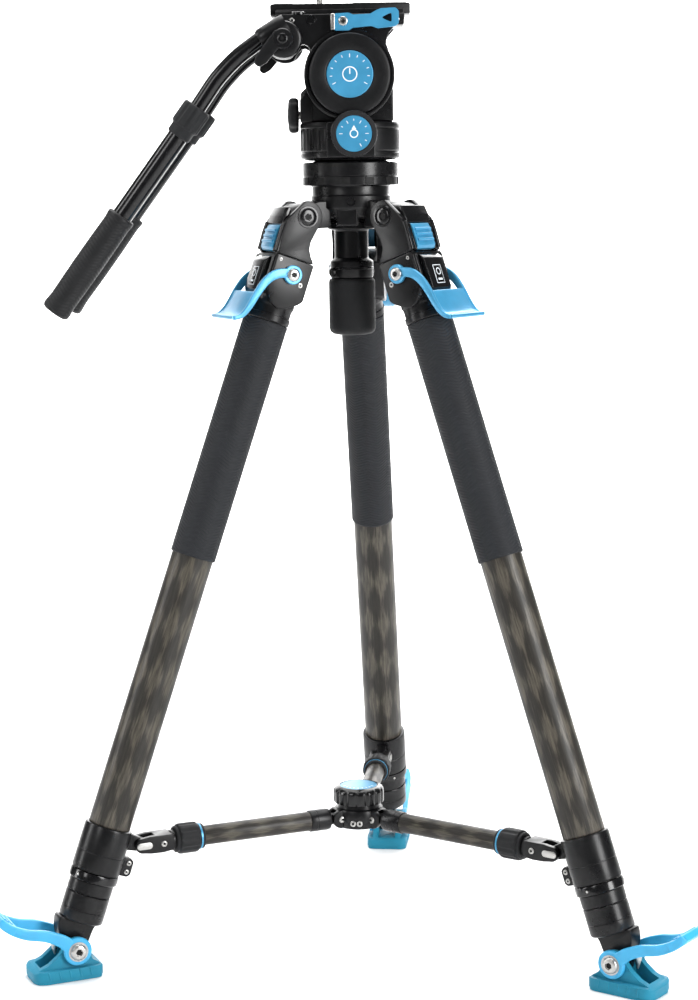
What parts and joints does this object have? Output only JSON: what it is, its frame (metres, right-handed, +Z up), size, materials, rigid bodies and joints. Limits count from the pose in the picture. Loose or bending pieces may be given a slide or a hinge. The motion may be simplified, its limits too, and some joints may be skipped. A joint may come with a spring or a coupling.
{
  "type": "video tripod with fluid head",
  "caption": "Carbon tripod with folding telescopic legs, mid-level spreader, bowl-levelled fluid head, sliding camera plate and pan bars.",
  "frame": {"origin": "middle of the standing footprint, on the floor", "axes": "+Z up, +X the way the head shoots, +Y to the rear leg; the tripod's own axis stands at x 0.01909 m, y -0.06723 m"},
  "size_m": [0.6634, 0.6122, 0.911],
  "materials": {
    "black_metal": "black hard anodised, satin",
    "blue_metal": "blue anodised, satin",
    "carbon": "clear-coated wound carbon fibre",
    "rubber": "matt, finely ribbed",
    "teal_rubber": "matt coloured rubber",
    "blue_pedal": "satin coloured plastic",
    "steel": "stainless"
  },
  "bodies": {
    "apex": {"apex_bowl": "black_metal"},
    "ball": {"half_ball": "black_metal"},
    "tie_down": {"tie_down_handle": "rubber"},
    "pan": {"pan_housing": "black_metal"},
    "pan_dial": {"pan_drag_dial": "rubber"},
    "tilt": {"tilt_cradle": "black_metal"},
    "tilt_dial": {"tilt_drag_dial": "black_metal"},
    "plate": {"camera_plate": "black_metal"},
    "plate_screw": {"camera_screw": "steel"},
    "plate_lever": {"plate_clamp_lever": "blue_metal"},
    "lock_knob": {"tilt_lock_knob": "rubber"},
    "hub": {"spreader_hub": "black_metal"},
    "knob": {"hub_knob": "black_metal"},
    "near_arm": {"near_bar_arm": "black_metal"},
    "near_wing": {"near_bar_clamp_wing": "black_metal"},
    "near_collar": {"near_bar_collar": "rubber"},
    "near_tube": {"near_bar_tube": "black_metal", "near_bar_grip": "rubber"},
    "far_arm": {"far_bar_arm": "black_metal"},
    "far_wing": {"far_bar_clamp_wing": "black_metal"},
    "far_collar": {"far_bar_collar": "rubber"},
    "far_tube": {"far_bar_tube": "black_metal", "far_bar_grip": "rubber"},
    "left_arm_body": {"left_spreader_arm": "carbon"},
    "left_leg": {"left_shoulder": "black_metal", "left_upper_tube": "carbon", "left_grip_sleeve": "rubber", "left_upper_collar": "black_metal"},
    "left_tab": {"left_angle_tab": "blue_metal"},
    "left_lever": {"left_lock_lever": "blue_metal"},
    "left_middle": {"left_middle_stage": "black_metal"},
    "left_lower": {"left_lower_stage": "black_metal"},
    "left_foot": {"left_foot_shoe": "teal_rubber"},
    "left_pedal": {"left_foot_lever": "blue_pedal"},
    "left_twist": {"left_twist_collar": "rubber"},
    "right_arm_body": {"right_spreader_arm": "carbon"},
    "right_leg": {"right_shoulder": "black_metal", "right_upper_tube": "carbon", "right_grip_sleeve": "rubber", "right_upper_collar": "black_metal"},
    "right_tab": {"right_angle_tab": "blue_metal"},
    "right_lever": {"right_lock_lever": "blue_metal"},
    "right_middle": {"right_middle_stage": "black_metal"},
    "right_lower": {"right_lower_stage": "black_metal"},
    "right_foot": {"right_foot_shoe": "teal_rubber"},
    "right_pedal": {"right_foot_lever": "blue_pedal"},
    "right_twist": {"right_twist_collar": "rubber"},
    "rear_arm_body": {"rear_spreader_arm": "carbon"},
    "rear_leg": {"rear_shoulder": "black_metal", "rear_upper_tube": "carbon", "rear_grip_sleeve": "rubber", "rear_upper_collar": "black_metal"},
    "rear_tab": {"rear_angle_tab": "blue_metal"},
    "rear_lever": {"rear_lock_lever": "blue_metal"},
    "rear_middle": {"rear_middle_stage": "black_metal"},
    "rear_lower": {"rear_lower_stage": "black_metal"},
    "rear_foot": {"rear_foot_shoe": "teal_rubber"},
    "rear_pedal": {"rear_foot_lever": "blue_pedal"},
    "rear_twist": {"rear_twist_collar": "rubber"}
  },
  "joints": [
    {"name": "ball_level", "type": "hinge", "parent": "apex", "child": "ball", "pos_m": [0.01909, -0.06723, 0.756], "axis": [0, 1, 0], "range_deg": [-2, 2]},
    {"name": "tie_down_turn", "type": "hinge", "parent": "ball", "child": "tie_down", "pos_m": [0.01909, -0.06723, 0.65], "axis": [0, 0, 1], "continuous": true},
    {"name": "pan_turn", "type": "hinge", "parent": "ball", "child": "pan", "pos_m": [0.01909, -0.06723, 0.77], "axis": [0, 0, 1], "continuous": true},
    {"name": "pan_dial_turn", "type": "hinge", "parent": "pan", "child": "pan_dial", "pos_m": [0.02259, -0.12323, 0.783], "axis": [0, 1, 0], "range_deg": [0, 300]},
    {"name": "tilt_swing", "type": "hinge", "parent": "pan", "child": "tilt", "pos_m": [0.01909, -0.06723, 0.8377], "axis": [0, 1, 0], "range_deg": [-15, 75]},
    {"name": "tilt_dial_turn", "type": "hinge", "parent": "pan", "child": "tilt_dial", "pos_m": [0.01949, -0.11323, 0.8377], "axis": [0, 1, 0], "range_deg": [0, 300]},
    {"name": "plate_slide", "type": "slide", "parent": "tilt", "child": "plate", "axis": [1, 0, 0], "range_m": [-0.03, 0.03]},
    {"name": "camera_screw_turn", "type": "hinge", "parent": "plate", "child": "plate_screw", "pos_m": [-0.00791, -0.06723, 0.9], "axis": [0, 0, 1], "continuous": true},
    {"name": "plate_lever_swing", "type": "hinge", "parent": "tilt", "child": "plate_lever", "pos_m": [0.00509, -0.10823, 0.8855], "axis": [0, 0, -1], "range_deg": [0, 90]},
    {"name": "tilt_lock_turn", "type": "hinge", "parent": "pan", "child": "lock_knob", "pos_m": [-0.03391, -0.06723, 0.802], "axis": [1, 0, 0], "range_deg": [0, 120]},
    {"name": "near_bar_angle", "type": "hinge", "parent": "tilt", "child": "near_arm", "pos_m": [-0.04191, -0.11673, 0.87], "axis": [0, -1, 0], "range_deg": [-90, 12]},
    {"name": "near_wing_turn", "type": "hinge", "parent": "near_arm", "child": "near_wing", "pos_m": [-0.04191, -0.11673, 0.87], "axis": [0, -1, 0], "range_deg": [0, 60]},
    {"name": "near_collar_turn", "type": "hinge", "parent": "near_arm", "child": "near_collar", "pos_m": [-0.12111, -0.11673, 0.81], "axis": [-0.5942, 0, -0.8043], "range_deg": [0, 180]},
    {"name": "near_bar_extend", "type": "slide", "parent": "near_arm", "child": "near_tube", "axis": [-0.5942, 0, -0.8043], "range_m": [0, 0.12]},
    {"name": "far_bar_angle", "type": "hinge", "parent": "tilt", "child": "far_arm", "pos_m": [-0.04191, -0.01773, 0.87], "axis": [0, -1, 0], "range_deg": [-90, 12]},
    {"name": "far_wing_turn", "type": "hinge", "parent": "far_arm", "child": "far_wing", "pos_m": [-0.04191, -0.01773, 0.87], "axis": [0, -1, 0], "range_deg": [0, 60]},
    {"name": "far_collar_turn", "type": "hinge", "parent": "far_arm", "child": "far_collar", "pos_m": [-0.12111, -0.01773, 0.81], "axis": [-0.5942, 0, -0.8043], "range_deg": [0, 180]},
    {"name": "far_bar_extend", "type": "slide", "parent": "far_arm", "child": "far_tube", "axis": [-0.5942, 0, -0.8043], "range_m": [0, 0.12]},
    {"name": "spreader_fold", "type": "slide", "parent": "apex", "child": "hub", "axis": [0, 0, 1], "range_m": [0, 0.1816]},
    {"name": "hub_knob_turn", "type": "hinge", "parent": "hub", "child": "knob", "pos_m": [0.01909, -0.06723, 0.138], "axis": [0, 0, 1], "continuous": true},
    {"name": "left_arm_swing", "type": "hinge", "parent": "hub", "child": "left_arm_body", "pos_m": [-0.00109, -0.076, 0.11752], "axis": [0.3987, -0.9171, 0], "range_deg": [0, 88.7]},
    {"name": "left_leg_swing", "type": "hinge", "parent": "left_arm_body", "child": "left_leg", "pos_m": [-0.18991, -0.1581, 0.11752], "axis": [0.3987, -0.9171, 0], "range_deg": [-69.7, 0]},
    {"name": "left_tab_pull", "type": "slide", "parent": "left_leg", "child": "left_tab", "axis": [-0.8635, -0.3755, 0.3366], "range_m": [0, 0.004], "stiffness_N_per_m": 800, "springref_m": -0.002},
    {"name": "left_lever_open", "type": "hinge", "parent": "left_leg", "child": "left_lever", "pos_m": [-0.04691, -0.09593, 0.65329], "axis": [-0.3987, 0.9171, 0], "range_deg": [0, 60]},
    {"name": "left_middle_slide", "type": "slide", "parent": "left_leg", "child": "left_middle", "axis": [-0.3087, -0.1342, -0.9416], "range_m": [0, 0.4]},
    {"name": "left_lower_slide", "type": "slide", "parent": "left_middle", "child": "left_lower", "axis": [-0.3087, -0.1342, -0.9416], "range_m": [0, 0.4]},
    {"name": "left_foot_tilt", "type": "hinge", "parent": "left_lower", "child": "left_foot", "pos_m": [-0.25391, -0.18593, 0.0278], "axis": [0.3987, -0.9171, 0], "range_deg": [-15, 15]},
    {"name": "left_pedal_press", "type": "hinge", "parent": "left_lower", "child": "left_pedal", "pos_m": [-0.25391, -0.18593, 0.0278], "axis": [0.3987, -0.9171, 0], "range_deg": [0, 22]},
    {"name": "left_twist_turn", "type": "hinge", "parent": "left_arm_body", "child": "left_twist", "pos_m": [-0.14681, -0.13936, 0.11752], "axis": [-0.9171, -0.3987, 0], "range_deg": [0, 180]},
    {"name": "right_arm_swing", "type": "hinge", "parent": "hub", "child": "right_arm_body", "pos_m": [0.03678, -0.08032, 0.11752], "axis": [0.5948, 0.8039, 0], "range_deg": [0, 88.7]},
    {"name": "right_leg_swing", "type": "hinge", "parent": "right_arm_body", "child": "right_leg", "pos_m": [0.20229, -0.20279, 0.11752], "axis": [0.5948, 0.8039, 0], "range_deg": [-69.7, 0]},
    {"name": "right_tab_pull", "type": "slide", "parent": "right_leg", "child": "right_tab", "axis": [0.7569, -0.5601, 0.3366], "range_m": [0, 0.004], "stiffness_N_per_m": 800, "springref_m": -0.002},
    {"name": "right_lever_open", "type": "hinge", "parent": "right_leg", "child": "right_lever", "pos_m": [0.07694, -0.11004, 0.65329], "axis": [-0.5948, -0.8039, 0], "range_deg": [0, 60]},
    {"name": "right_middle_slide", "type": "slide", "parent": "right_leg", "child": "right_middle", "axis": [0.2706, -0.2002, -0.9416], "range_m": [0, 0.4]},
    {"name": "right_lower_slide", "type": "slide", "parent": "right_middle", "child": "right_lower", "axis": [0.2706, -0.2002, -0.9416], "range_m": [0, 0.4]},
    {"name": "right_foot_tilt", "type": "hinge", "parent": "right_lower", "child": "right_foot", "pos_m": [0.25839, -0.2443, 0.0278], "axis": [0.5948, 0.8039, 0], "range_deg": [-15, 15]},
    {"name": "right_pedal_press", "type": "hinge", "parent": "right_lower", "child": "right_pedal", "pos_m": [0.25839, -0.2443, 0.0278], "axis": [0.5948, 0.8039, 0], "range_deg": [0, 22]},
    {"name": "right_twist_turn", "type": "hinge", "parent": "right_arm_body", "child": "right_twist", "pos_m": [0.16451, -0.17483, 0.11752], "axis": [0.8039, -0.5948, 0], "range_deg": [0, 180]},
    {"name": "rear_arm_swing", "type": "hinge", "parent": "hub", "child": "rear_arm_body", "pos_m": [0.02158, -0.04537, 0.11752], "axis": [-0.9936, 0.1132, 0], "range_deg": [0, 88.7]},
    {"name": "rear_leg_swing", "type": "hinge", "parent": "rear_arm_body", "child": "rear_leg", "pos_m": [0.04489, 0.15921, 0.11752], "axis": [-0.9936, 0.1132, 0], "range_deg": [-69.7, 0]},
    {"name": "rear_tab_pull", "type": "slide", "parent": "rear_leg", "child": "rear_tab", "axis": [0.1066, 0.9356, 0.3366], "range_m": [0, 0.004], "stiffness_N_per_m": 800, "springref_m": -0.002},
    {"name": "rear_lever_open", "type": "hinge", "parent": "rear_leg", "child": "rear_lever", "pos_m": [0.02724, 0.00427, 0.65329], "axis": [0.9936, -0.1132, 0], "range_deg": [0, 60]},
    {"name": "rear_middle_slide", "type": "slide", "parent": "rear_leg", "child": "rear_middle", "axis": [0.0381, 0.3344, -0.9416], "range_m": [0, 0.4]},
    {"name": "rear_lower_slide", "type": "slide", "parent": "rear_middle", "child": "rear_lower", "axis": [0.0381, 0.3344, -0.9416], "range_m": [0, 0.4]},
    {"name": "rear_foot_tilt", "type": "hinge", "parent": "rear_lower", "child": "rear_foot", "pos_m": [0.05279, 0.22855, 0.0278], "axis": [-0.9936, 0.1132, 0], "range_deg": [-15, 15]},
    {"name": "rear_pedal_press", "type": "hinge", "parent": "rear_lower", "child": "rear_pedal", "pos_m": [0.05279, 0.22855, 0.0278], "axis": [-0.9936, 0.1132, 0], "range_deg": [0, 22]},
    {"name": "rear_twist_turn", "type": "hinge", "parent": "rear_arm_body", "child": "rear_twist", "pos_m": [0.03957, 0.11251, 0.11752], "axis": [0.1132, 0.9936, 0], "range_deg": [0, 180]}
  ],
  "couplings": [
    {"joint": "left_arm_swing", "follows": "spreader_fold", "rad_per_m": 8.5247},
    {"joint": "left_leg_swing", "follows": "spreader_fold", "rad_per_m": -6.6987},
    {"joint": "right_arm_swing", "follows": "spreader_fold", "rad_per_m": 8.5247},
    {"joint": "right_leg_swing", "follows": "spreader_fold", "rad_per_m": -6.6987},
    {"joint": "rear_arm_swing", "follows": "spreader_fold", "rad_per_m": 8.5247},
    {"joint": "rear_leg_swing", "follows": "spreader_fold", "rad_per_m": -6.6987}
  ]
}
